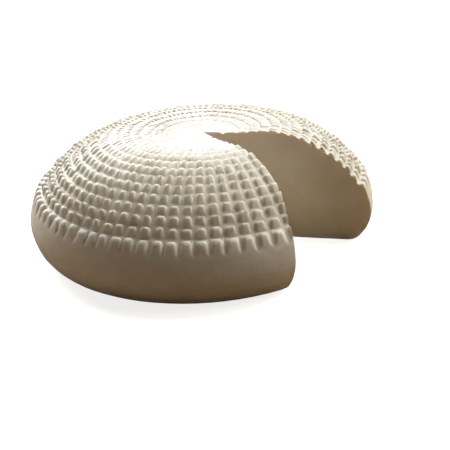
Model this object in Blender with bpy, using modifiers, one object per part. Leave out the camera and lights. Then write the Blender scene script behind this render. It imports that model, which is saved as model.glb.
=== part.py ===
"""A wheel of fresh pressed cheese with the knobbly print of its mould, and one wedge cut out of it.

Metres, +Z up. The wheel stands on its flat base, and the origin is on the base, at the middle of the
wheel's outline. The wheel is one solid: a profile turned about Z, with each bump raised from its own
cell of the turned surface, and the wedge taken out of it.
"""

import bisect
import math
import random

import bmesh
import bpy
from mathutils import Matrix, Vector

NAME = "quesillo"
MM = 0.001

# Radius and height of the crown and the wall, in millimetres, from the middle of the top to the low wall
CROWN_MM = ((0, 67.4), (23, 68.7), (45, 71.3), (60, 69.6), (74, 64.8), (87, 57.2), (98, 47.4), (106, 36.4),
            (109.6, 21.6), (107.2, 10.4), (103, 3.5))
# How far the foot of the wall leans in under the belly, and the round between the wall and the base
UNDERCUT_DEG = 38.0
FOOT_ROUND = 9.0 * MM
FOOT_STEPS = 3

# The smooth button in the middle of the top, with the round groove about it
BUTTON_RADIUS = 12.6 * MM
GROOVE_WIDTH = 3.6 * MM
GROOVE_DEPTH = 0.9 * MM

# The mould's print: rings of bumps, measured along the surface from the middle of the top
COLUMNS = 80
RINGS = 15
RING_PITCH = 6.85 * MM
FIRST_RING = 16.4 * MM
# The rings nearest the middle have bumps too small for a flat top, and come to a low point
POINTED_RINGS = 4
# The tops are flush with the smooth wall, and the mould's ribs pressed the grooves between them this deep
RELIEF = 2.4 * MM
# The relief is shallower where the cells are narrower than this, and where the first ring starts
FULL_WIDTH = 6.0 * MM
INNER_FADE = 1.3
INNER_SHARE = 0.4
# The top of a bump as a share of its cell, how far it sits towards the middle of the wheel, and how far
# its lower edge sinks, as a share of the relief
TOP_ACROSS = 0.52
TOP_ALONG = 0.62
TOP_SHIFT = 0.07
TOP_SINK = 0.4
# The lowest ring runs out into the smooth wall
LAST_RING_LENGTH = 10.5 * MM
LAST_RING_LIFT = 0.55
# A face belongs to a ring if its middle is this near the ring's, as a share of the pitch
RING_SLACK = 0.3
# Below the print, the smooth wall is turned in this many bands
WALL_BANDS = 3

# How uneven the bumps are: shares of the relief, and of the top's size
RELIEF_SPREAD = 0.22
TOP_SPREAD = 0.12
SEED = 7

# The wheel settled a little to one side as it drained, and stands taller towards the front
LEAN_X = 0.042
TALLER_FRONT = 0.36
# The columns of bumps stand wider apart about one direction, next to the front cut
SPREAD_DEG = 3.2
SPREAD_AT_DEG = -52.0
SPREAD_WIDTH_DEG = 20.0
# Its foot is tucked in before and behind, below this height
TUCK = 0.02
TUCK_HEIGHT = 22.0 * MM

# The missing wedge: where its two cuts meet, and the directions that they run in
WEDGE_TIP = (4.0 * MM, 1.7 * MM)
WEDGE_FRONT_DEG = -63.8
WEDGE_BACK_DEG = -20.7
WEDGE_REACH = 150.0 * MM
# The knife swung out at the foot of the back cut, from the first radius to the second
SWING_DEG = 3.6
SWING_SPAN = (40.0 * MM, 95.0 * MM)
SWING_HEIGHT = 50.0 * MM
# The front cut swells into the gap about one distance from the tip, and the more the higher, up to a height
SWELL = 5.2 * MM
SWELL_AT = 77.0 * MM
SWELL_WIDTH = 24.0 * MM
SWELL_HEIGHT = 30.0 * MM
CUT_STEP = 10.0 * MM

# Fresh white paste, as linear colour
PASTE_COLOUR = (0.80, 0.75, 0.63, 1.0)
PASTE_ROUGHNESS = 0.5

SHARP_DEG = 40.0
CURVE_STEPS = 24
SLOPE_STEP = 0.2 * MM
MERGE = 0.00001


def clear_scene():
    """Removes every object that the scene starts with."""
    for item in list(bpy.data.objects):
        bpy.data.objects.remove(item, do_unlink=True)


def collection(name):
    """A new collection in the scene."""
    made = bpy.data.collections.new(name)
    bpy.context.scene.collection.children.link(made)
    return made


def paste_material():
    """The one finish of the wheel, rind and cut alike."""
    material = bpy.data.materials.new("paste")
    material.use_nodes = True
    shader = material.node_tree.nodes["Principled BSDF"]
    shader.inputs["Base Color"].default_value = PASTE_COLOUR
    shader.inputs["Roughness"].default_value = PASTE_ROUGHNESS
    shader.inputs["Metallic"].default_value = 0.0
    return material


def through(points, steps):
    """A smooth curve through the points, with the first one on the wheel's axis."""
    first, last = points[0], points[-1]
    mirrored = Vector((-points[1].x, points[1].y))
    padded = [mirrored, *points, last * 2 - points[-2]]
    curve = [first.copy()]
    for a, b, c, d in zip(padded, padded[1:], padded[2:], padded[3:]):
        for step in range(1, steps + 1):
            t = step / steps
            bend = b * 2 + (c - a) * t + (a * 2 - b * 5 + c * 4 - d) * t**2 + (b * 3 - a - c * 3 + d) * t**3
            curve.append(bend / 2)
    return curve


class Outline:
    """The crown and wall as one curve, read by the length along it from the middle of the top."""

    def __init__(self):
        self.points = through([Vector(pair) * MM for pair in CROWN_MM], CURVE_STEPS)
        self.lengths = [0.0]
        for a, b in zip(self.points, self.points[1:]):
            self.lengths.append(self.lengths[-1] + (b - a).length)

    def at(self, length):
        """Radius and height at a length along the curve."""
        upper = min(max(bisect.bisect_left(self.lengths, length), 1), len(self.lengths) - 1)
        start, end = self.lengths[upper - 1], self.lengths[upper]
        return self.points[upper - 1].lerp(self.points[upper], (length - start) / (end - start))

    def sunk(self, length, depth):
        """The place at a length along the curve, sunk into the body by a depth."""
        along = (self.at(length + SLOPE_STEP) - self.at(length - SLOPE_STEP)).normalized()
        return self.at(length) - Vector((-along.y, along.x)) * depth

    def length_at_radius(self, radius):
        """Length along the crown at which it reaches a radius."""
        index = next(i for i, point in enumerate(self.points) if point.x >= radius)
        before, after = self.points[index - 1], self.points[index]
        share = (radius - before.x) / (after.x - before.x)
        return self.lengths[index - 1] + share * (self.lengths[index] - self.lengths[index - 1])


def ring_edges():
    """Lengths at which the rings of bumps meet, from the first ring's inner edge to the last one's foot."""
    edges = [FIRST_RING + RING_PITCH * ring for ring in range(RINGS)]
    return [*edges, edges[-1] + LAST_RING_LENGTH]


def ring_reliefs(outline):
    """Relief of each ring: shallower where its cells are narrow."""
    edges = ring_edges()
    radii = [(outline.at(upper).x + outline.at(lower).x) / 2 for upper, lower in zip(edges, edges[1:])]
    return [RELIEF * min(1.0, radius * math.tau / COLUMNS / FULL_WIDTH) ** INNER_FADE for radius in radii]


def groove_depths(reliefs):
    """Depth of the grooves at each ring's edge, down to nothing at the smooth wall."""
    between = [(inner + outer) / 2 for inner, outer in zip(reliefs, reliefs[1:])]
    return [INNER_SHARE * reliefs[0], *between, 0.0]


def foot_arc(wall_end):
    """The round from the end of the wall to the flat base."""
    lean = math.radians(UNDERCUT_DEG)
    centre = Vector((wall_end.x - FOOT_ROUND * math.cos(lean), FOOT_ROUND))
    arc = []
    for step in range(1, FOOT_STEPS + 1):
        turn = -lean - (math.pi / 2 - lean) * step / FOOT_STEPS
        arc.append(centre + FOOT_ROUND * Vector((math.cos(turn), math.sin(turn))))
    return arc


def profile_points(outline):
    """The turned profile, top to bottom: button, groove, one point at each ring's edge, wall, foot, base."""
    button = outline.length_at_radius(BUTTON_RADIUS)
    groove = outline.at(button + GROOVE_WIDTH / 2) - Vector((0, GROOVE_DEPTH))
    points = [outline.at(0), outline.at(button), groove]
    edges = ring_edges()
    points += [outline.sunk(edge, depth) for edge, depth in zip(edges, groove_depths(ring_reliefs(outline)))]
    wall = outline.lengths[-1] - edges[-1]
    points += [outline.at(edges[-1] + wall * band / WALL_BANDS) for band in range(1, WALL_BANDS + 1)]
    points += foot_arc(outline.points[-1])
    points.append(Vector((0, 0)))
    return points


def turned_wheel(outline, home):
    """The plain wheel, as the profile turned about Z, in one mesh."""
    points = profile_points(outline)
    mesh = bpy.data.meshes.new(NAME)
    mesh.from_pydata([(p.x, 0, p.y) for p in points], [(i, i + 1) for i in range(len(points) - 1)], [])
    wheel = bpy.data.objects.new(NAME, mesh)
    home.objects.link(wheel)
    screw = wheel.modifiers.new("turn", "SCREW")
    screw.axis = "Z"
    screw.steps = COLUMNS
    screw.render_steps = COLUMNS
    screw.use_merge_vertices = True
    screw.merge_threshold = MERGE
    solid = bpy.data.meshes.new_from_object(wheel.evaluated_get(bpy.context.evaluated_depsgraph_get()))
    wheel.modifiers.clear()
    wheel.data = solid
    solid.name = NAME
    bpy.data.meshes.remove(mesh)
    return wheel


def cells_of_ring(bm, high, low):
    """The faces of one ring between two points of the profile, in order round the wheel."""
    middle = (high + low) / 2
    slack = RING_PITCH * RING_SLACK
    found = []
    for face in bm.faces:
        centre = face.calc_center_median()
        here = Vector((math.hypot(centre.x, centre.y), centre.z))
        if len(face.verts) == 4 and (here - middle).length < slack:
            found.append(face)
    return sorted(found, key=lambda face: math.atan2(*face.calc_center_median().yx))


def directions(face):
    """Unit vectors of a cell: round the wheel, and along the surface towards the middle of the top."""
    centre = face.calc_center_median()
    around = Vector((-centre.y, centre.x, 0)).normalized()
    return around, face.normal.cross(around)


def shape_top(face, relief, draw):
    """Gives one raised top its own size, place and height, and sinks its lower edge."""
    around, upward = directions(face)
    centre = face.calc_center_median()
    normal = face.normal.copy()
    wide = 1 + draw.uniform(-TOP_SPREAD, TOP_SPREAD)
    tall = 1 + draw.uniform(-TOP_SPREAD, TOP_SPREAD)
    lift = relief * draw.uniform(-RELIEF_SPREAD, RELIEF_SPREAD / 2)
    slide = upward * RING_PITCH * TOP_SHIFT
    for vert in face.verts:
        off = vert.co - centre
        along = upward * off.dot(upward) * tall
        sink = relief * TOP_SINK if off.dot(upward) < 0 else 0.0
        vert.co = centre + around * off.dot(around) * wide + along + slide + normal * (lift - sink)


def raise_flat_ring(bm, cells, relief, draw):
    """Raises a blocky bump with a flat top from each cell of a ring."""
    around, upward = directions(cells[0])
    corners = [vert.co for vert in cells[0].verts]
    width = max(c.dot(around) for c in corners) - min(c.dot(around) for c in corners)
    length = max(c.dot(upward) for c in corners) - min(c.dot(upward) for c in corners)
    margin = width * (1 - TOP_ACROSS) / 2
    bmesh.ops.inset_individual(bm, faces=cells, thickness=margin, depth=relief, use_even_offset=True)
    stretch = length * TOP_ALONG / (length - 2 * margin)
    for face in cells:
        around, upward = directions(face)
        centre = face.calc_center_median()
        for vert in face.verts:
            off = vert.co - centre
            vert.co += upward * off.dot(upward) * (stretch - 1)
        shape_top(face, relief, draw)


def raise_pointed_ring(bm, cells, relief, draw):
    """Raises a small pointed bump from each cell of a ring near the middle."""
    normals = [face.normal.copy() for face in cells]
    poked = bmesh.ops.poke(bm, faces=cells)
    for vert, normal in zip(poked["verts"], normals):
        vert.co += normal * relief * (1 + draw.uniform(-RELIEF_SPREAD, RELIEF_SPREAD / 2))


def print_mould(bm, outline):
    """Raises all the rings of bumps."""
    draw = random.Random(SEED)
    edges = ring_edges()
    reliefs = ring_reliefs(outline)
    marks = [outline.sunk(edge, depth) for edge, depth in zip(edges, groove_depths(reliefs))]
    for ring, (high, low, relief) in enumerate(zip(marks, marks[1:], reliefs)):
        cells = cells_of_ring(bm, high, low)
        bm.normal_update()
        if ring < POINTED_RINGS:
            raise_pointed_ring(bm, cells, relief, draw)
        else:
            last = ring == RINGS - 1
            raise_flat_ring(bm, cells, relief * LAST_RING_LIFT if last else relief, draw)


def spread(place):
    """Turns a place about the wheel's axis, so that the columns stand wider apart next to the front cut."""
    turn = math.atan2(place.y, place.x)
    off = (math.degrees(turn) - SPREAD_AT_DEG) / SPREAD_WIDTH_DEG
    turn += math.radians(SPREAD_DEG) * math.exp(-(off**2))
    radius = math.hypot(place.x, place.y)
    return Vector((radius * math.cos(turn), radius * math.sin(turn), place.z))


def settle(bm):
    """Leans the body, tucks in its foot and lets it stand taller in front, with the base left flat."""
    for vert in bm.verts:
        x, y, z = spread(vert.co)
        tuck = TUCK * max(0.0, 1 - z / TUCK_HEIGHT) ** 2
        vert.co = (x + LEAN_X * z, y * (1 - tuck), z * (1 - TALLER_FRONT * y))


def centre_on_base(bm):
    """Moves the body so that the middle of its outline is over the origin, and returns the move."""
    reach = [[vert.co[axis] for vert in bm.verts] for axis in range(2)]
    shift = Vector((*(-(min(side) + max(side)) / 2 for side in reach), 0))
    bmesh.ops.translate(bm, verts=bm.verts, vec=shift)
    return shift


def trim(bm, place, outward):
    """Cuts away what lies beyond a plane, and closes the cut."""
    whole = [*bm.verts, *bm.edges, *bm.faces]
    cut = bmesh.ops.bisect_plane(bm, geom=whole, plane_co=place, plane_no=outward, clear_outer=True)
    bmesh.ops.holes_fill(bm, edges=[edge for edge in cut["geom_cut"] if isinstance(edge, bmesh.types.BMEdge)])


def slice_up(bm, tip, direction, steps):
    """Scores a body across a direction, so that its faces can bend."""
    for step in range(1, steps):
        whole = [*bm.verts, *bm.edges, *bm.faces]
        bmesh.ops.bisect_plane(bm, geom=whole, plane_co=tip + direction * CUT_STEP * step, plane_no=direction)


def share_between(value, span):
    """How far a value lies between two others, from 0 to 1."""
    return min(max((value - span[0]) / (span[1] - span[0]), 0.0), 1.0)


def steer(bm, tip, front, back):
    """Bends the two cuts as the knife ran."""
    aside = Vector((-math.sin(front), math.cos(front), 0))
    for vert in bm.verts:
        off = vert.co - tip
        radius, turn = math.hypot(off.x, off.y), math.atan2(off.y, off.x)
        if radius < MM:
            continue
        if abs(turn - back) < abs(turn - front):
            low = max(0.0, 1 - max(off.z, 0.0) / SWING_HEIGHT) ** 2
            turn += math.radians(SWING_DEG) * share_between(radius, SWING_SPAN) * low
            vert.co = tip + Vector((radius * math.cos(turn), radius * math.sin(turn), off.z))
        else:
            swell = SWELL * math.exp(-(((radius - SWELL_AT) / SWELL_WIDTH) ** 2))
            vert.co += aside * share_between(off.z, (0.0, SWELL_HEIGHT)) * swell


def wedge_cutter(home, shift):
    """The missing wedge: a block trimmed by the two upright cuts that meet at the tip."""
    tip = Vector((*WEDGE_TIP, 0))
    front, back = math.radians(WEDGE_FRONT_DEG), math.radians(WEDGE_BACK_DEG)
    bm = bmesh.new()
    bmesh.ops.create_cube(bm, size=2 * WEDGE_REACH)
    bmesh.ops.translate(bm, verts=bm.verts, vec=tip)
    for turn, side in ((front, 1), (back, -1)):
        trim(bm, tip, Vector((math.sin(turn), -math.cos(turn), 0)) * side)
    middle = (front + back) / 2
    slice_up(bm, tip, Vector((math.cos(middle), math.sin(middle), 0)), round(WEDGE_REACH / CUT_STEP))
    slice_up(bm, tip, Vector((0, 0, 1)), round(WEDGE_REACH / CUT_STEP / 2))
    steer(bm, tip, front, back)
    bmesh.ops.recalc_face_normals(bm, faces=bm.faces)
    bmesh.ops.translate(bm, verts=bm.verts, vec=shift)
    mesh = bpy.data.meshes.new("wedge")
    bm.to_mesh(mesh)
    bm.free()
    cutter = bpy.data.objects.new("wedge", mesh)
    cutter.hide_render = True
    cutter.display_type = "WIRE"
    home.objects.link(cutter)
    return cutter


def cut_wedge(wheel, cutter):
    """Takes the wedge out of the wheel, through bumps and all."""
    cut = wheel.modifiers.new("cut", "BOOLEAN")
    cut.operation = "DIFFERENCE"
    cut.solver = "EXACT"
    cut.object = cutter


def build():
    """Builds the wheel in its own collection, with the cutter in another."""
    clear_scene()
    home = collection(NAME)
    outline = Outline()
    wheel = turned_wheel(outline, home)
    bm = bmesh.new()
    bm.from_mesh(wheel.data)
    bmesh.ops.remove_doubles(bm, verts=bm.verts, dist=MERGE)
    print_mould(bm, outline)
    half_pitch = Matrix.Rotation(math.pi / COLUMNS, 3, "Z")
    bmesh.ops.rotate(bm, verts=bm.verts, cent=(0, 0, 0), matrix=half_pitch)
    settle(bm)
    shift = centre_on_base(bm)
    bm.to_mesh(wheel.data)
    bm.free()
    wheel.data.materials.append(paste_material())
    wheel.data.shade_smooth()
    wheel.data.set_sharp_from_angle(angle=math.radians(SHARP_DEG))
    cut_wedge(wheel, wedge_cutter(collection("cutters"), shift))


build()
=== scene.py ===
"""Dresses the cut wheel of quesillo: its printed rind, its smooth wall and the paste of its two cut faces.

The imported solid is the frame. The visible wheel is turned, printed and cut here at the same sizes as that
solid, in finer detail, and replaces it.
"""
import bisect
import logging
import math
import random
from collections.abc import Callable, Sequence
from dataclasses import dataclass, field
from enum import Enum

import bmesh
import bpy
from mathutils import Matrix, Vector


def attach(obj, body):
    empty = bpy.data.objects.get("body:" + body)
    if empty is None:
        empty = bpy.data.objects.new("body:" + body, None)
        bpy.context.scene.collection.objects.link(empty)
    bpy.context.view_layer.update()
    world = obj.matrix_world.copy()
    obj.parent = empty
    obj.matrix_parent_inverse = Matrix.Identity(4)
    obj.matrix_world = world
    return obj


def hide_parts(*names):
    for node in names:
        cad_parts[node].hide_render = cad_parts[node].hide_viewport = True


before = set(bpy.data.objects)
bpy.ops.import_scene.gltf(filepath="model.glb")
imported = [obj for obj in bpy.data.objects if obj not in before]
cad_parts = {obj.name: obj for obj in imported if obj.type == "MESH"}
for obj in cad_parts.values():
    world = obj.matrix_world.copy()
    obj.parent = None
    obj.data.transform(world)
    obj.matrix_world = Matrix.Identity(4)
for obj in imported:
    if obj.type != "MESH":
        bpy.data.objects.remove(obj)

LOG = logging.getLogger("quesillo")
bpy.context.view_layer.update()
MM = 0.001
WELD = 0.00001
IMAGE_SIZE = 450

Colour = tuple[float, float, float, float]
Value = "float | Sequence[float] | Sock"


class Sock:
    """A node's output, on which arithmetic adds Math nodes."""

    def __init__(self, graph: "Graph", socket: bpy.types.NodeSocket) -> None:
        """Keeps the output and the graph that it is in."""
        self.graph = graph
        self.socket = socket

    def _math(self, operation: str, first: Value, second: Value) -> "Sock":
        """Adds one Math node."""
        return self.graph.node("ShaderNodeMath", {"operation": operation}, {0: first, 1: second})

    def __add__(self, other: Value) -> "Sock":
        """The sum with another value."""
        return self._math("ADD", self, other)

    __radd__ = __add__

    def __sub__(self, other: Value) -> "Sock":
        """What is left when another value is taken off."""
        return self._math("SUBTRACT", self, other)

    def __rsub__(self, other: Value) -> "Sock":
        """What is left of another value when this one is taken off it."""
        return self._math("SUBTRACT", other, self)

    def __mul__(self, other: Value) -> "Sock":
        """The product with another value."""
        return self._math("MULTIPLY", self, other)

    __rmul__ = __mul__

    def clamped(self) -> "Sock":
        """The value kept between 0 and 1."""
        return self.graph.node("ShaderNodeClamp", {}, {0: self})


class Graph:
    """The node tree of one new material."""

    def __init__(self, name: str) -> None:
        """Makes the material.

        Args:
            name: what it is called.
        """
        self.material = bpy.data.materials.new(name)
        self.material.use_nodes = True
        self.tree = self.material.node_tree
        self.shader = self.tree.nodes["Principled BSDF"]

    def node(
        self, kind: str, settings: dict[str, object], inputs: dict[int | str, Value], output: int | str = 0
    ) -> Sock:
        """Adds a node.

        Args:
            kind: the node's type.
            settings: attributes to set first.
            inputs: a value or another node's output for each socket, by the socket's name or number.
            output: which output to return.

        Returns:
            The output, ready for arithmetic.
        """
        made = self.tree.nodes.new(kind)
        for key, value in settings.items():
            setattr(made, key, value)
        for key, value in inputs.items():
            self.feed(made.inputs[key], value)
        return Sock(self, made.outputs[output])

    def feed(self, socket: bpy.types.NodeSocket, value: Value) -> None:
        """Links or sets one input.

        Args:
            socket: the input.
            value: another node's output, or a constant.
        """
        if isinstance(value, Sock):
            self.tree.links.new(value.socket, socket)
        else:
            socket.default_value = value

    def shade(self, inputs: dict[str, Value]) -> None:
        """Feeds inputs of the shader itself, by their names."""
        for name, value in inputs.items():
            self.feed(self.shader.inputs[name], value)

    def mix(self, factor: Value, low: Value, high: Value) -> Sock:
        """A colour between two colours."""
        return self.node("ShaderNodeMix", {"data_type": "RGBA"}, {0: factor, 6: low, 7: high}, 2)

    def noise(self, place: Sock, size: float, detail: float) -> Sock:
        """Soft noise whose patches are about that size in metres."""
        return self.node("ShaderNodeTexNoise", {}, {"Vector": place, "Scale": 1 / size, "Detail": detail})

    def span(self, value: Sock, low: float, high: float) -> Sock:
        """Stretches the range from low to high over 0 to 1, and keeps it there."""
        return ((value - low) * (1 / (high - low))).clamped()

    def bump(self, height: Sock, strength: float, reach: float) -> Sock:
        """Fine relief, from a height of 0 to 1 that stands for that reach in metres."""
        return self.node(
            "ShaderNodeBump", {}, {"Strength": strength, "Distance": reach, "Height": height}
        )


@dataclass(frozen=True)
class Paste:
    """The body of the cheese, which every surface of it shares: pale, dense and a little see-through."""

    light: Colour = (0.86, 0.845, 0.76, 1.0)
    deep: Colour = (0.81, 0.775, 0.665, 1.0)
    patch_detail: float = 3.0
    patch_range: tuple[float, float] = (0.35, 0.68)
    glow: float = 0.18
    glow_depth: float = 0.9 * MM
    glow_spread: tuple[float, float, float] = (1.0, 0.75, 0.5)
    ior: float = 1.40

    def start(self, name: str) -> Graph:
        """Starts a material, with the constants that all of the paste has.

        Args:
            name: what the material is called.

        Returns:
            The material's graph.
        """
        graph = Graph(name)
        graph.shade({
            "Subsurface Weight": self.glow,
            "Subsurface Radius": self.glow_spread,
            "Subsurface Scale": self.glow_depth,
            "IOR": self.ior,
        })
        return graph

    def patches(self, graph: Graph, place: Sock, size: float) -> Sock:
        """Soft patches of about that size in metres, where the paste is deeper in colour and damper."""
        return graph.span(graph.noise(place, size, self.patch_detail), *self.patch_range)


@dataclass(frozen=True)
class RindFinish:
    """The moulded skin: creamy, with a fine curd grain, and yellower where whey stood in the hollows, which
    are also darkened as painted shade.
    """

    paste: Paste = Paste()
    # Colour of the hollows: a whey yellow, darkened as painted shade in the grooves.
    whey_and_shade: Colour = (0.66, 0.60, 0.49, 1.0)
    patch: float = 11 * MM
    freckle: float = 11 * MM / 3
    freckle_detail: float = 2.0
    freckle_tone: float = 0.20
    curd: float = 1.6 * MM
    curd_detail: float = 2.0
    curd_height: float = 0.7
    grain: float = 0.45 * MM
    grain_detail: float = 1.0
    grain_height: float = 0.3
    whey_and_shade_least: float = 0.3
    whey_and_shade_by_curd: float = 0.5
    damp_by_patch: float = 0.5
    damp_by_hollow: float = 0.35
    dry: float = 0.56
    wet: float = 0.36
    bump: float = 0.35
    bump_reach: float = 0.25 * MM

    def material(self) -> bpy.types.Material:
        """Builds the material.

        Returns:
            The material.
        """
        graph = self.paste.start("rind")
        place = graph.node("ShaderNodeTexCoord", {}, {}, "Object")
        whey_and_shade = graph.node("ShaderNodeAttribute", {"attribute_name": "whey_and_shade"}, {}, "Fac")
        patch = self.paste.patches(graph, place, self.patch)
        curd = graph.noise(place, self.curd, self.curd_detail)
        grain = graph.noise(place, self.grain, self.grain_detail)
        freckle = graph.noise(place, self.freckle, self.freckle_detail)
        body = graph.mix(patch, self.paste.light, self.paste.deep)
        skin = graph.mix((freckle * self.freckle_tone).clamped(), body, self.whey_and_shade)
        # Painted shade with a whey tint: deeper places in the print mix toward the darker hollow colour.
        whey_and_shade_mix = (whey_and_shade * (self.whey_and_shade_least + curd * self.whey_and_shade_by_curd)).clamped()
        damp = (patch * self.damp_by_patch + whey_and_shade * self.damp_by_hollow).clamped()
        height = curd * self.curd_height + grain * self.grain_height
        graph.shade({
            "Base Color": graph.mix(whey_and_shade_mix, skin, self.whey_and_shade),
            "Roughness": self.dry - damp * (self.dry - self.wet),
            "Normal": graph.bump(height, self.bump, self.bump_reach),
        })
        return graph.material


@dataclass(frozen=True)
class CutFinish:
    """A face that the knife left: smooth dense paste with tiny pits, darkened as painted shade, and faint
    drag marks.
    """

    paste: Paste = Paste(
        light=(0.83, 0.775, 0.66, 1.0), deep=(0.76, 0.69, 0.565, 1.0), glow=0.4, glow_depth=4.5 * MM
    )
    patch: float = 22 * MM
    fine: float = 1.1 * MM
    fine_detail: float = 2.0
    fine_height: float = 0.25
    pit_spacing: float = 11 * MM
    pit_reach: float = 0.07
    pit_core: float = 0.028
    # Painted shade in the pits: their brown, and how strongly it darkens them.
    pit_shade_colour: Colour = (0.42, 0.32, 0.2, 1.0)
    pit_shade: float = 0.6
    pit_height: float = 0.9
    drag: float = 1.2 * MM
    drag_stretch: tuple[float, float, float] = (0.08, 0.08, 1.0)
    drag_detail: float = 3.0
    drag_height: float = 0.35
    dry: float = 0.50
    wet: float = 0.40
    bump: float = 0.6
    bump_reach: float = 0.4 * MM

    def material(self) -> bpy.types.Material:
        """Builds the material.

        Returns:
            The material.
        """
        graph = self.paste.start("cut paste")
        place = graph.node("ShaderNodeTexCoord", {}, {}, "Object")
        patch = self.paste.patches(graph, place, self.patch)
        fine = graph.noise(place, self.fine, self.fine_detail)
        spacing = {"Vector": place, "Scale": 1 / self.pit_spacing}
        cells = graph.node("ShaderNodeTexVoronoi", {}, spacing, "Distance")
        pits = 1 - graph.span(cells, self.pit_core, self.pit_reach)
        lengthways = graph.node("ShaderNodeMapping", {}, {"Vector": place, "Scale": self.drag_stretch})
        drag = graph.noise(lengthways, self.drag, self.drag_detail)
        body = graph.mix(patch, self.paste.light, self.paste.deep)
        height = drag * self.drag_height + fine * self.fine_height - pits * self.pit_height
        graph.shade({
            # Painted shade: the pits are darkened toward the brown.
            "Base Color": graph.mix((pits * self.pit_shade).clamped(), body, self.pit_shade_colour),
            "Roughness": self.dry - patch * (self.dry - self.wet),
            "Normal": graph.bump(height, self.bump, self.bump_reach),
        })
        return graph.material


@dataclass(frozen=True)
class Outline:
    """The crown and wall as one curve, read by the length along it from the middle of the top."""

    crown_mm: tuple[tuple[float, float], ...] = (
        (0, 67.4), (23, 68.7), (45, 71.3), (60, 69.6), (74, 64.8), (87, 57.2), (98, 47.4), (106, 36.4),
        (109.6, 21.6), (107.2, 10.4), (103, 3.5),
    )
    undercut_deg: float = 38.0
    foot_round: float = 9.0 * MM
    foot_steps: int = 5
    curve_steps: int = 24
    slope_step: float = 0.2 * MM
    points: list[Vector] = field(init=False, default_factory=list)
    lengths: list[float] = field(init=False, default_factory=list)

    def __post_init__(self) -> None:
        """Works out the curve and its running length."""
        self.points.extend(self._through([Vector(pair) * MM for pair in self.crown_mm]))
        self.lengths.append(0.0)
        for a, b in zip(self.points, self.points[1:]):
            self.lengths.append(self.lengths[-1] + (b - a).length)

    def _through(self, points: list[Vector]) -> list[Vector]:
        """Draws a smooth curve through points, level at the wheel's axis.

        Args:
            points: the points, as radius and height.

        Returns:
            The curve's finer points.
        """
        mirrored = Vector((-points[1].x, points[1].y))
        padded = [mirrored, *points, points[-1] * 2 - points[-2]]
        curve = [points[0].copy()]
        for a, b, c, d in zip(padded, padded[1:], padded[2:], padded[3:]):
            square = a * 2 - b * 5 + c * 4 - d
            cube = b * 3 - a - c * 3 + d
            for step in range(1, self.curve_steps + 1):
                t = step / self.curve_steps
                curve.append((b * 2 + (c - a) * t + square * t**2 + cube * t**3) / 2)
        return curve

    def at(self, length: float) -> Vector:
        """Finds a place on the curve.

        Args:
            length: the length along it.

        Returns:
            Its radius and height.
        """
        upper = min(max(bisect.bisect_left(self.lengths, length), 1), len(self.lengths) - 1)
        start, end = self.lengths[upper - 1], self.lengths[upper]
        return self.points[upper - 1].lerp(self.points[upper], (length - start) / (end - start))

    def length_at(self, radius: float) -> float:
        """Finds where the crown reaches a radius.

        Args:
            radius: the radius.

        Returns:
            The length along the curve.
        """
        index = next(i for i, point in enumerate(self.points) if point.x >= radius)
        before, after = self.points[index - 1], self.points[index]
        share = (radius - before.x) / (after.x - before.x)
        return self.lengths[index - 1] + share * (self.lengths[index] - self.lengths[index - 1])

    def outward(self, length: float) -> Vector:
        """The direction out of the surface at a length along the curve."""
        along = self.at(length + self.slope_step) - self.at(max(length - self.slope_step, 0.0))
        return Vector((-along.y, along.x)).normalized()

    def foot(self) -> list[Vector]:
        """Rounds the wall's end on to the flat base.

        Returns:
            The round's points, from the wall to the base.
        """
        lean = math.radians(self.undercut_deg)
        centre = Vector((self.points[-1].x - self.foot_round * math.cos(lean), self.foot_round))
        shares = [step / self.foot_steps for step in range(1, self.foot_steps + 1)]
        turns = [-lean - (math.pi / 2 - lean) * share for share in shares]
        return [centre + self.foot_round * Vector((math.cos(turn), math.sin(turn))) for turn in turns]


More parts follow.
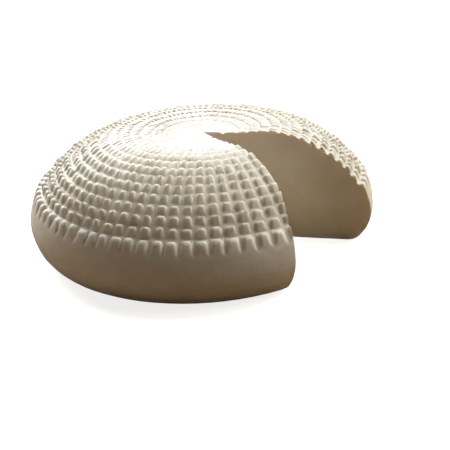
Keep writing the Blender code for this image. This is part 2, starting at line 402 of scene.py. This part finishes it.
@dataclass(frozen=True)
class MouldPrint:
    """The rings of bumps that the basket mould left, and the round groove about the smooth button.

    A cell of the print is one unit square on the flat sheet. Its bump is a stack of nested rounded squares,
    whose sizes and heights the two rows of shares give from its foot to the middle of its top. The tops are
    flush with the smooth wall below the print, and the mould's ribs pressed the grooves between them.
    """

    columns: int = 80
    rings: int = 15
    pitch: float = 6.85 * MM
    first: float = 16.4 * MM
    last_length: float = 10.5 * MM
    button: float = 12.6 * MM
    button_rows: tuple[float, ...] = (0.0, 0.5, 1.0)
    groove_width: float = 3.6 * MM
    groove_depth: float = 0.9 * MM
    groove_rows: tuple[float, ...] = (0.35, 0.65)
    margin: float = 0.05
    gap: float = 0.012
    shares: tuple[float, ...] = (1.0, 0.92, 0.76, 0.36)
    heights: tuple[float, ...] = (0.0, 0.56, 0.92, 1.0)
    squareness: float = 3.0
    lower_squareness: float = 4.5
    relief: float = 2.5 * MM
    last_lip: float = 0.24
    last_fade: float = 1.6
    across: float = 0.68
    along: float = 0.94
    full_width: float = 6.0 * MM
    inner_fade: float = 1.4
    between_fade: float = 1.3
    ends_from: float = 0.6
    lower_sink: float = 0.92
    sink_curve: float = 1.9
    inner_floor: float = 0.4
    uneven_size: float = 0.12
    uneven_place: float = 0.045
    uneven_height: float = 0.28
    uneven_skew: float = 0.07
    joined_share: float = 0.09
    joined_reach: float = 0.13
    seed: int = 7

    def lines(self) -> list[float]:
        """A cell's grid lines from side to side, as shares of half its bump."""
        return [*(-share for share in self.shares), *reversed(self.shares)]

    def edges(self) -> list[float]:
        """Lengths at which the rings meet, from the first ring's inner edge to the last one's foot."""
        inner = [self.first + self.pitch * ring for ring in range(self.rings)]
        return [*inner, inner[-1] + self.last_length]

    def breadths(self, outline: Outline) -> list[float]:
        """Measures each ring's cells.

        Args:
            outline: the curve that the print runs down.

        Returns:
            The cells' width in each ring, as a share of the width that has the full relief.
        """
        edges = self.edges()
        radii = [(outline.at(upper).x + outline.at(lower).x) / 2 for upper, lower in zip(edges, edges[1:])]
        return [min(1.0, radius * math.tau / self.columns / self.full_width) for radius in radii]

    def reliefs(self, outline: Outline) -> list[float]:
        """The relief of each ring: shallower where the cells are narrow."""
        return [self.relief * breadth**self.inner_fade for breadth in self.breadths(outline)]

    def sinks(self, outline: Outline) -> list[float]:
        """How far each ring's bumps fall away to their lower ends."""
        reliefs = self.reliefs(outline)
        return [*(self.lower_sink * relief for relief in reliefs[:-1]), self.last_lip * reliefs[-1]]

    def floors(self, outline: Outline) -> list[float]:
        """Works out how deep the grooves are.

        Args:
            outline: the curve that the print runs down.

        Returns:
            The height of the grooves at each ring's edge, where the tops' height is nought.
        """
        reliefs = self.reliefs(outline)
        between = [-(inner + outer) / 2 for inner, outer in zip(reliefs, reliefs[1:])]
        return [-self.inner_floor * reliefs[0], *between, 0.0]


class Ground:
    """The floors of the grooves: deepest where the rings meet, and shallower between narrow neighbours."""

    def __init__(self, mould: MouldPrint, outline: Outline) -> None:
        """Works out the floors' heights and the shares of them between neighbours.

        Args:
            mould: the print that the grooves are part of.
            outline: the curve that the print runs down.
        """
        self.mould = mould
        self.floors = mould.floors(outline)
        self.between = [breadth**mould.between_fade for breadth in mould.breadths(outline)]

    def at(self, ring: int, down: float) -> float:
        """Finds the floor's height, run out smoothly in the lowest ring.

        Args:
            ring: the ring.
            down: the share of the way down it.

        Returns:
            The height.
        """
        if ring == self.mould.rings - 1:
            down = 1 - (1 - min(down, 1.0)) ** self.mould.last_fade
        return self.floors[ring] + (self.floors[ring + 1] - self.floors[ring]) * down

    def share_between(self, ring: int, endwards: float) -> float:
        """How much of the floor's depth a place has: all at a cell's two ends, and less along its sides."""
        ends = max(0.0, endwards - self.mould.ends_from) / (1 - self.mould.ends_from)
        return self.between[ring] + (1 - self.between[ring]) * min(1.0, ends)


@dataclass
class Bump:
    """One bump's own size, place and height in its cell, drawn about the mould's."""

    wide: float
    tall: float
    slide: float
    rise: float
    skew: float
    lift: float
    tilt: float
    sink: float

    @classmethod
    def drawn(cls, mould: MouldPrint, relief: float, sink: float, draw: random.Random) -> "Bump":
        """Draws one bump.

        Args:
            mould: the print that it belongs to.
            relief: its ring's relief.
            sink: how far its ring's bumps fall away to their lower ends.
            draw: the seeded source.

        Returns:
            The bump.
        """
        size, place, uneven = mould.uneven_size, mould.uneven_place, mould.uneven_height * relief
        bump = cls(
            wide=mould.across * (1 + draw.uniform(-size, size)),
            tall=mould.along * (1 + draw.uniform(-size, size / 2)),
            slide=draw.uniform(-place, place),
            rise=draw.uniform(-place, place),
            skew=draw.uniform(-mould.uneven_skew, mould.uneven_skew),
            lift=draw.uniform(-uneven, uneven / 2),
            tilt=draw.uniform(-uneven, uneven) / 2,
            sink=sink,
        )
        if draw.random() < mould.joined_share:
            bump.wide += mould.joined_reach
            bump.slide += draw.choice((-1, 1)) * mould.joined_reach / 2
        return bump


class Cut(Enum):
    """The two cuts that the knife made."""

    FRONT = "front"
    BACK = "back"


@dataclass(frozen=True)
class WedgeCut:
    """The missing wedge: where the two cuts meet, which way they run, and how the knife wavered."""

    tip: tuple[float, float] = (4.0 * MM, 1.7 * MM)
    front_deg: float = -63.8
    back_deg: float = -20.7
    reach: float = 125.0 * MM
    corner: float = 1.5
    low: float = -4.0 * MM
    high: float = 82.0 * MM
    step: float = 1.5 * MM
    straight: float = 0.001
    swing_deg: float = 3.6
    swing_span: tuple[float, float] = (40.0 * MM, 95.0 * MM)
    swing_height: float = 50.0 * MM
    swell: float = 5.2 * MM
    swell_at: tuple[float, float] = (77.0 * MM, 24.0 * MM)
    bent_above: tuple[float, float] = (0.0 * MM, 30.0 * MM)
    waver: float = 0.7 * MM
    waver_size: float = 30.0 * MM
    chatter: float = 0.16 * MM
    chatter_size: float = 4.0 * MM

    def turn(self, cut: Cut) -> float:
        """The angle that a cut runs at from the tip."""
        return math.radians(self.front_deg if cut is Cut.FRONT else self.back_deg)

    def cut_at(self, turn: float) -> Cut | None:
        """The cut that a place at that angle from the tip lies on, if it lies on one."""
        return next((cut for cut in Cut if abs(turn - self.turn(cut)) < self.straight), None)

    def middle(self) -> Vector:
        """The direction halfway between the two cuts."""
        turn = math.radians((self.front_deg + self.back_deg) / 2)
        return Vector((math.cos(turn), math.sin(turn), 0))

    def back_swing(self, radius: float, height: float) -> float:
        """Works out how far the foot of the back cut swings back.

        Args:
            radius: a place's distance from the tip.
            height: the place's height.

        Returns:
            The swing there, as an angle about the tip.
        """
        start, end = self.swing_span
        along = min(max((radius - start) / (end - start), 0.0), 1.0)
        low = max(0.0, 1 - max(height, 0.0) / self.swing_height)
        return math.radians(self.swing_deg) * along * low**2

    def front_bend(self, radius: float, height: float) -> float:
        """Works out how far the front cut swells into the gap.

        Args:
            radius: a place's distance from the tip.
            height: the place's height.

        Returns:
            The swell there.
        """
        low, high = self.bent_above
        middle, width = self.swell_at
        upper = min(max((height - low) / (high - low), 0.0), 1.0)
        return upper * self.swell * math.exp(-(((radius - middle) / width) ** 2))


class Bench:
    """Small steps that the wheel's making repeats."""

    @staticmethod
    def only(piece: bpy.types.Object) -> None:
        """Makes one object the only selected one, and the active one.

        Args:
            piece: the object.
        """
        bpy.ops.object.select_all(action="DESELECT")
        piece.select_set(True)
        bpy.context.view_layer.objects.active = piece

    @staticmethod
    def pick(piece: bpy.types.Object, wanted: Callable[[bmesh.types.BMFace], bool]) -> None:
        """Selects the faces that pass a test, in edit mode.

        Args:
            piece: the object in edit mode.
            wanted: the test.
        """
        bpy.ops.mesh.select_all(action="DESELECT")
        mesh = bmesh.from_edit_mesh(piece.data)
        for face in mesh.faces:
            if wanted(face):
                face.select_set(True)
        bmesh.update_edit_mesh(piece.data)

    @staticmethod
    def apply(piece: bpy.types.Object, kind: str, **settings: object) -> None:
        """Adds a modifier and applies it.

        Args:
            piece: the object.
            kind: the modifier's type.
            **settings: its settings.
        """
        Bench.only(piece)
        modifier = piece.modifiers.new(kind.lower(), kind)
        for key, value in settings.items():
            setattr(modifier, key, value)
        bpy.ops.object.modifier_apply(modifier=modifier.name)

    @staticmethod
    def ruffle(piece: bpy.types.Object, name: str, strength: float, size: float, group: str = "") -> None:
        """Moves a surface in and out by soft lumps.

        Args:
            piece: the object.
            name: what the lumps are called.
            strength: how far they reach from the lowest to the highest.
            size: how large they are.
            group: the vertex group that is moved, or none for all.
        """
        texture = bpy.data.textures.new(name, "CLOUDS")
        texture.noise_scale = size
        Bench.apply(piece, "DISPLACE", texture=texture, strength=strength, vertex_group=group)


@dataclass(frozen=True)
class Station:
    """One row of the sheet: its place on the turned profile, and its length along the outline, if any."""

    point: Vector
    length: float | None = None


@dataclass
class CheeseWheel:
    """The whole wheel as one mesh: printed as a flat sheet, rolled round, made lumpy, settled and cut."""

    outline: Outline = field(default_factory=Outline)
    mould: MouldPrint = MouldPrint()
    wedge: WedgeCut = WedgeCut()
    rind: RindFinish = RindFinish()
    cut: CutFinish = CutFinish()
    wall_bands: int = 5
    wall_cuts: int = 2
    base_rings: tuple[float, ...] = (88 * MM, 55 * MM)
    lean_x: float = 0.042
    taller_front: float = 0.36
    spread_deg: float = 3.2
    spread_at_deg: float = -52.0
    spread_width_deg: float = 20.0
    tuck: float = 0.02
    tuck_height: float = 22 * MM
    lump: float = 0.7 * MM
    lump_size: float = 24 * MM
    crumple: float = 0.32 * MM
    crumple_size: float = 3.5 * MM
    firm_foot: float = 8 * MM
    crisp_deg: float = 60.0
    name: str = "cheese_wheel"

    def build(self) -> bpy.types.Object:
        """Makes the wheel and dresses it.

        Returns:
            The finished object.
        """
        stations = self.stations()
        wheel = self.sheet(len(stations) - 1)
        self.press_print(wheel, stations)
        self.roll(wheel, stations)
        self.soften(wheel)
        shift = self.settle(wheel)
        self.cut_wedge(wheel, shift)
        self.dress(wheel)
        return wheel

    def stations(self) -> list[Station]:
        """Lays out the sheet's rows.

        Returns:
            The rows from the middle of the top, down the wall and in to the middle of the base.
        """
        outline, mould = self.outline, self.mould
        button = outline.length_at(mould.button)
        edges = mould.edges()
        wall = outline.lengths[-1] - edges[-1]
        bands = [edges[-1] + wall * band / self.wall_bands for band in range(1, self.wall_bands + 1)]
        floor = Vector((0, -mould.groove_depth))
        grooves = [button + mould.groove_width * share for share in mould.groove_rows]
        rows = [Station(outline.at(button * share), button * share) for share in mould.button_rows]
        rows += [Station(outline.at(length) + floor) for length in grooves]
        rows += [Station(outline.at(length), length) for length in (*edges, *bands)]
        rows += [Station(point) for point in outline.foot()]
        rows += [Station(Vector((radius, 0))) for radius in (*self.base_rings, 0.0)]
        return rows

    def _first_row(self, stations: list[Station]) -> int:
        """The row at which the print starts."""
        return next(i for i, row in enumerate(stations) if row.length == self.mould.first)

    def sheet(self, rows: int) -> bpy.types.Object:
        """Makes the flat sheet, one unit a cell.

        Args:
            rows: how many rows of cells it has.

        Returns:
            The sheet.
        """
        columns = self.mould.columns
        bpy.ops.object.select_all(action="DESELECT")
        bpy.ops.mesh.primitive_grid_add(x_subdivisions=columns, y_subdivisions=rows, size=1)
        wheel = bpy.context.object
        wheel.name = self.name
        bpy.ops.object.mode_set(mode="EDIT")
        bpy.ops.mesh.select_all(action="SELECT")
        bpy.ops.transform.resize(value=(columns, rows, 1))
        bpy.ops.transform.translate(value=(columns / 2, rows / 2, 0))
        bpy.ops.object.mode_set(mode="OBJECT")
        return wheel

    def press_print(self, wheel: bpy.types.Object, stations: list[Station]) -> None:
        """Raises a bump in every cell of the print, and cuts the wall's cells finer.

        Args:
            wheel: the flat sheet.
            stations: its rows.
        """
        mould = self.mould
        first = self._first_row(stations)
        wall = first + mould.rings
        Bench.only(wheel)
        bpy.ops.object.mode_set(mode="EDIT")
        Bench.pick(wheel, lambda face: first < face.calc_center_median().y < wall)
        bpy.ops.mesh.inset(thickness=mould.margin, depth=0, use_individual=True)
        bpy.ops.mesh.subdivide(number_cuts=len(mould.lines()) - 2)
        self._stamp(wheel, first)
        Bench.pick(wheel, lambda face: wall < face.calc_center_median().y < wall + self.wall_bands)
        bpy.ops.mesh.subdivide(number_cuts=self.wall_cuts)
        bpy.ops.object.mode_set(mode="OBJECT")

    def _draw_bumps(self) -> list[list[Bump]]:
        """Draws every bump of the print.

        Returns:
            The bumps of each ring, whose last ring ends flush with the wall.
        """
        mould = self.mould
        draw = random.Random(mould.seed)
        bumps = [
            [Bump.drawn(mould, relief, sink, draw) for _ in range(mould.columns)]
            for relief, sink in zip(mould.reliefs(self.outline), mould.sinks(self.outline))
        ]
        for bump in bumps[-1]:
            bump.lift += bump.sink
        return bumps

    def _stamp(self, wheel: bpy.types.Object, first: int) -> None:
        """Moves each cell's grid into its bump, and marks how deep in the print each point lies, which sets
        the rind's whey tint and painted shade there.

        Args:
            wheel: the flat sheet, in edit mode.
            first: the row at which the print starts.
        """
        mould, bumps = self.mould, self._draw_bumps()
        reliefs, ground = mould.reliefs(self.outline), Ground(mould, self.outline)
        mesh = bmesh.from_edit_mesh(wheel.data)
        # The deeper a point lies in the print, the more whey tint and painted shade the rind gives it.
        whey_and_shade = mesh.verts.layers.float.new("whey_and_shade")
        lines = mould.lines()
        spread = (len(lines) - 1) / (1 - 2 * mould.margin)
        for vert in mesh.verts:
            row, column = vert.co.y - first, vert.co.x
            if not -WELD < row < mould.rings + WELD:
                continue
            ring, cell = min(int(row + WELD), mould.rings - 1), int(column)
            if min(column % 1, 1 - column % 1, row % 1, 1 - row % 1) < mould.margin / 2:
                down = row - ring
                vert.co.z = ground.at(ring, down) * ground.share_between(ring, abs(2 * down - 1))
                vert[whey_and_shade] = min(1.0, -vert.co.z / mould.relief)
                continue
            a, b = (lines[round((place % 1 - mould.margin) * spread)] for place in (column, -row))
            spot, share = self._on_bump(a, b, bumps[ring][cell])
            floor = ground.at(ring, 0.5 + spot.y)
            depth = min(1.0, -floor / reliefs[ring])
            floor *= ground.share_between(ring, abs(b) / max(abs(a), abs(b)))
            spot.z = spot.z * depth + floor * (1 - share)
            vert.co = spot + Vector((cell + 0.5, first + ring + 0.5, 0))
            vert[whey_and_shade] = (1 - share) * depth**2
        bmesh.update_edit_mesh(wheel.data)

    def _on_bump(self, a: float, b: float, bump: Bump) -> tuple[Vector, float]:
        """Finds a grid point's place on its bump.

        Args:
            a: its place across the bump, from -1 to 1.
            b: its place along the bump, from -1 at the lower end to 1 at the upper.
            bump: the bump.

        Returns:
            The place from the cell's middle, and its height as a share of the way from floor to top.
        """
        mould = self.mould
        reach = max(abs(a), abs(b))
        power = mould.squareness if b > 0 else mould.lower_squareness
        norm = (abs(a) ** power + abs(b) ** power) ** (1 / power)
        u, v = a * reach / norm, b * reach / norm
        share = mould.heights[mould.shares.index(reach)]
        room = 0.5 - mould.gap
        across = bump.slide + bump.wide * u / 2 + bump.skew * v / 2
        down = -bump.rise - bump.tall * v / 2
        height = bump.lift + bump.tilt * u - bump.sink * ((1 - v) / 2) ** mould.sink_curve
        x, y = (min(max(place, -room), room) for place in (across, down))
        return Vector((x, y, height * share)), share

    def roll(self, wheel: bpy.types.Object, stations: list[Station]) -> None:
        """Rolls the sheet on to the turned profile and closes its seam and its two middles.

        Args:
            wheel: the printed sheet.
            stations: its rows.
        """
        columns = self.mould.columns
        for vert in wheel.data.vertices:
            column, row, height = vert.co
            point, outward = self._profile_at(stations, row)
            point = point + outward * height
            turn = -math.tau * (column + 0.5) / columns
            vert.co = (point.x * math.cos(turn), point.x * math.sin(turn), point.y)
        Bench.only(wheel)
        bpy.ops.object.mode_set(mode="EDIT")
        bpy.ops.mesh.select_all(action="SELECT")
        bpy.ops.mesh.remove_doubles(threshold=WELD)
        bpy.ops.mesh.normals_make_consistent(inside=False)
        bpy.ops.object.mode_set(mode="OBJECT")

    def _profile_at(self, stations: list[Station], row: float) -> tuple[Vector, Vector]:
        """Finds a row's place on the turned profile.

        Args:
            stations: the sheet's rows.
            row: the row, or a place between two.

        Returns:
            The place as radius and height, and the direction out of the surface there.
        """
        index = min(int(row + WELD), len(stations) - 2)
        share = min(max(row - index, 0.0), 1.0)
        here, after = stations[index], stations[index + 1]
        if here.length is None or after.length is None:
            return here.point.lerp(after.point, share), Vector((0, 0))
        length = here.length + (after.length - here.length) * share
        return self.outline.at(length), self.outline.outward(length)

    def soften(self, wheel: bpy.types.Object) -> None:
        """Makes the skin a little lumpy, and firm towards its foot.

        Args:
            wheel: the rolled wheel.
        """
        skin = wheel.vertex_groups.new(name="skin")
        for vert in wheel.data.vertices:
            skin.add([vert.index], min(1.0, vert.co.z / self.firm_foot), "REPLACE")
        Bench.ruffle(wheel, "lumps", self.lump, self.lump_size, skin.name)
        Bench.ruffle(wheel, "crumple", self.crumple, self.crumple_size, skin.name)

    def settle(self, wheel: bpy.types.Object) -> Vector:
        """Leans the body, tucks in its foot before and behind, makes it taller in front, and centres it.

        Args:
            wheel: the softened wheel.

        Returns:
            The move that centred it.
        """
        mesh = wheel.data
        for vert in mesh.vertices:
            x, y, z = self._spread(vert.co)
            tuck = self.tuck * max(0.0, 1 - z / self.tuck_height) ** 2
            vert.co = (x + self.lean_x * z, y * (1 - tuck), z * (1 - self.taller_front * y))
        low, high = (
            Vector([pick(vert.co[axis] for vert in mesh.vertices) for axis in range(2)])
            for pick in (min, max)
        )
        shift = Vector((*(-(low + high) / 2), 0))
        mesh.transform(Matrix.Translation(shift))
        return shift

    def _spread(self, place: Vector) -> Vector:
        """Turns a place about the axis, so that the columns next to the front cut stand wider apart.

        Args:
            place: the place.

        Returns:
            Where it goes.
        """
        turn = math.atan2(place.y, place.x)
        off = (math.degrees(turn) - self.spread_at_deg) / self.spread_width_deg
        turn += math.radians(self.spread_deg) * math.exp(-(off**2))
        radius = math.hypot(place.x, place.y)
        return Vector((radius * math.cos(turn), radius * math.sin(turn), place.z))

    def _cutter(self, shift: Vector) -> bpy.types.Object:
        """Makes the missing wedge, finely gridded and a little wavy where the knife wavered.

        Args:
            shift: how far the wheel was moved to centre it.

        Returns:
            The cutter.
        """
        wedge = self.wedge
        tip = Vector((*wedge.tip, 0)) + shift
        bpy.ops.object.select_all(action="DESELECT")
        bpy.ops.mesh.primitive_cube_add(size=1, location=(tip.x, tip.y, (wedge.low + wedge.high) / 2))
        cutter = bpy.context.object
        cutter.scale = (2 * wedge.reach, 2 * wedge.reach, wedge.high - wedge.low)
        bpy.ops.object.transform_apply(location=True, rotation=True, scale=True)
        bpy.ops.object.mode_set(mode="EDIT")
        for cut, side in ((Cut.FRONT, 1), (Cut.BACK, -1)):
            turn = wedge.turn(cut)
            outward = Vector((math.sin(turn), -math.cos(turn), 0)) * side
            bpy.ops.mesh.select_all(action="SELECT")
            bpy.ops.mesh.bisect(plane_co=tip, plane_no=outward, use_fill=True, clear_outer=True)
        bpy.ops.mesh.select_all(action="SELECT")
        bpy.ops.mesh.normals_make_consistent(inside=False)
        self._grid_faces()
        bpy.ops.object.mode_set(mode="OBJECT")
        self._steer(cutter, tip)
        Bench.ruffle(cutter, "waver", wedge.waver, wedge.waver_size)
        Bench.ruffle(cutter, "chatter", wedge.chatter, wedge.chatter_size)
        return cutter

    def _grid_faces(self) -> None:
        """Cuts the wedge in edit mode into an even grid of level and upright slices."""
        wedge = self.wedge
        spans = (
            (Vector((0, 0, 1)), wedge.low, wedge.high),
            (wedge.middle(), 0.0, wedge.reach * wedge.corner),
        )
        origin = Vector((*wedge.tip, 0))
        for axis, start, end in spans:
            count = int((end - start) / wedge.step)
            for index in range(1, count):
                place = origin + axis * (start + (end - start) * index / count)
                bpy.ops.mesh.select_all(action="SELECT")
                bpy.ops.mesh.bisect(plane_co=place, plane_no=axis)
        bpy.ops.mesh.select_all(action="SELECT")
        bpy.ops.mesh.quads_convert_to_tris()

    def _steer(self, cutter: bpy.types.Object, tip: Vector) -> None:
        """Bends the cuts as the knife ran: the front one swells, and the foot of the back one swings out.

        Args:
            cutter: the wedge.
            tip: where its two cuts meet.
        """
        wedge = self.wedge
        front = wedge.turn(Cut.FRONT)
        aside = Vector((-math.sin(front), math.cos(front), 0))
        for vert in cutter.data.vertices:
            off = vert.co - tip
            radius, turn = math.hypot(off.x, off.y), math.atan2(off.y, off.x)
            if radius < wedge.step:
                continue
            cut = wedge.cut_at(turn)
            if cut is Cut.BACK:
                turn += wedge.back_swing(radius, vert.co.z)
                vert.co = tip + Vector((radius * math.cos(turn), radius * math.sin(turn), vert.co.z))
            elif cut is Cut.FRONT:
                vert.co += aside * wedge.front_bend(radius, vert.co.z)

    def cut_wedge(self, wheel: bpy.types.Object, shift: Vector) -> None:
        """Takes the wedge out, and gives its faces the finish of cut paste.

        Args:
            wheel: the settled wheel.
            shift: how far it was moved to centre it.
        """
        cutter = self._cutter(shift)
        wheel.data.materials.append(self.rind.material())
        cutter.data.materials.append(self.cut.material())
        Bench.apply(wheel, "TRIANGULATE", quad_method="BEAUTY", ngon_method="BEAUTY")
        Bench.apply(
            wheel, "BOOLEAN", operation="DIFFERENCE", solver="MANIFOLD", object=cutter,
            material_mode="TRANSFER",
        )
        bpy.data.objects.remove(cutter, do_unlink=True)

    def dress(self, wheel: bpy.types.Object) -> None:
        """Shades the wheel and puts it in the frame.

        Args:
            wheel: the cut wheel.
        """
        Bench.only(wheel)
        bpy.ops.object.shade_smooth_by_angle(angle=math.radians(self.crisp_deg))
        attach(wheel, "root")
        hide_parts("quesillo")


@dataclass(frozen=True)
class Viewpoint:
    """The photograph's camera: its lens in pixels, its tilt and roll, and where the base's middle falls."""

    lens_px: float = 900.0
    pitch_deg: float = 24.97
    roll_deg: float = -3.23
    base_px: tuple[float, float] = (202.6, 230.1)
    distance: float = 593.4 * MM
    sensor_mm: float = 36.0
    base_at: tuple[float, float] = (-0.9 * MM, 0.0)

    def place(self) -> bpy.types.Object:
        """Makes the camera.

        Returns:
            The camera.
        """
        pitch, roll = math.radians(self.pitch_deg), math.radians(self.roll_deg)
        forward = Vector((0, math.cos(pitch), -math.sin(pitch)))
        level, rise = Vector((1, 0, 0)), Vector((0, math.sin(pitch), math.cos(pitch)))
        right = level * math.cos(roll) + rise * math.sin(roll)
        up = rise * math.cos(roll) - level * math.sin(roll)
        middle = IMAGE_SIZE / 2
        across = (self.base_px[0] - middle) / self.lens_px
        down = (self.base_px[1] - middle) / self.lens_px
        ray = forward + right * across - up * down
        data = bpy.data.cameras.new("view")
        data.sensor_width = self.sensor_mm
        data.lens = self.lens_px * self.sensor_mm / IMAGE_SIZE
        camera = bpy.data.objects.new("view", data)
        turn = Matrix((right, up, -forward)).transposed().to_4x4()
        camera.matrix_world = Matrix.Translation(Vector((*self.base_at, 0)) - ray * self.distance) @ turn
        bpy.context.scene.collection.objects.link(camera)
        bpy.context.scene.camera = camera
        return camera


@dataclass(frozen=True)
class Lamp:
    """One large square soft light that faces the wheel."""

    name: str
    azimuth_deg: float
    elevation_deg: float
    power: float
    colour: tuple[float, float, float]

    def place(self, distance: float, size: float) -> None:
        """Makes the light.

        Args:
            distance: how far it stands from the wheel.
            size: the length of its side.
        """
        turn, rise = math.radians(self.azimuth_deg), math.radians(self.elevation_deg)
        level = Vector((math.cos(turn), math.sin(turn), 0))
        away = level * math.cos(rise) + Vector((0, 0, math.sin(rise)))
        data = bpy.data.lights.new(self.name, "AREA")
        data.shape = "SQUARE"
        data.size = size
        data.energy = self.power
        data.color = self.colour
        lamp = bpy.data.objects.new(self.name, data)
        lamp.location = away * distance
        lamp.rotation_mode = "QUATERNION"
        lamp.rotation_quaternion = away.to_track_quat("Z", "Y")
        bpy.context.scene.collection.objects.link(lamp)


@dataclass(frozen=True)
class Studio:
    """A plain pale floor, with soft lights mostly from behind and above.

    The floor that shows is lit from within, and an unseen one just under it throws warm light back up.
    """

    floor_size: float = 6.0
    floor_colour: Colour = (0.86, 0.86, 0.85, 1.0)
    floor_glow: float = 0.92
    floor_roughness: float = 0.8
    floor_sheen: float = 0.1
    bounce_colour: Colour = (0.28, 0.19, 0.115, 1.0)
    bounce_gap: float = 0.5 * MM
    surround: Colour = (0.95, 0.95, 0.94, 1.0)
    distance: float = 1.6
    size: float = 1.1
    lamps: tuple[Lamp, ...] = (
        Lamp("back left window", 120.0, 25.0, 34.0, (0.98, 1.0, 0.98)),
        Lamp("back right window", 30.0, 45.0, 14.5, (1.0, 0.98, 0.80)),
        Lamp("overhead", 90.0, 68.0, 10.5, (1.0, 0.98, 0.95)),
        Lamp("right side", 0.0, 40.0, 11.0, (1.0, 0.94, 0.88)),
        Lamp("left side", 180.0, 12.0, 3.4, (1.0, 0.80, 0.68)),
        Lamp("cool sky", 90.0, 25.0, 12.0, (0.1, 0.2, 1.0)),
    )

    def build(self) -> None:
        """Makes the floor, the lights and the surround."""
        floor = self._sheet("floor", self.floor_colour, 0.0, self.floor_glow)
        floor.visible_diffuse = False
        floor.visible_glossy = False
        floor.visible_shadow = False
        bounce = self._sheet("bounce", self.bounce_colour, -self.bounce_gap, 0.0)
        bounce.visible_camera = False
        for lamp in self.lamps:
            lamp.place(self.distance, self.size)
        self._surround()
        bpy.context.scene.view_settings.view_transform = "Standard"

    def _surround(self) -> None:
        """Makes the pale surround, which only the camera sees."""
        world = bpy.data.worlds.new("surround")
        bpy.context.scene.world = world
        world.use_nodes = True
        world.node_tree.nodes["Background"].inputs["Color"].default_value = self.surround
        for light in ("diffuse", "glossy", "transmission", "scatter"):
            setattr(world.cycles_visibility, light, False)

    def _sheet(self, name: str, colour: Colour, height: float, glow: float) -> bpy.types.Object:
        """Makes a flat sheet under the wheel.

        Args:
            name: what it is called.
            colour: its colour.
            height: how high it lies.
            glow: how strongly it is lit from within, which lightens the shadow on it.

        Returns:
            The sheet.
        """
        bpy.ops.object.select_all(action="DESELECT")
        bpy.ops.mesh.primitive_plane_add(size=self.floor_size, location=(0, 0, height))
        sheet = bpy.context.object
        sheet.name = name
        graph = Graph(name)
        graph.shade({
            "Base Color": colour,
            "Roughness": self.floor_roughness,
            "Specular IOR Level": self.floor_sheen,
            "Emission Color": colour,
            "Emission Strength": glow,
        })
        sheet.data.materials.append(graph.material)
        return sheet


def main() -> None:
    """Builds the wheel, the studio and the camera in order."""
    logging.basicConfig(level=logging.INFO, format="%(message)s")
    wheel = CheeseWheel().build()
    wheel.data.calc_loop_triangles()
    LOG.info("%s: %d triangles", wheel.name, len(wheel.data.loop_triangles))
    studio = Studio()
    studio.build()
    LOG.info("studio: a floor and %d lamps", len(studio.lamps))
    camera = Viewpoint().place()
    LOG.info("%s: a %.0f mm lens", camera.name, camera.data.lens)


if __name__ == "__main__":
    main()
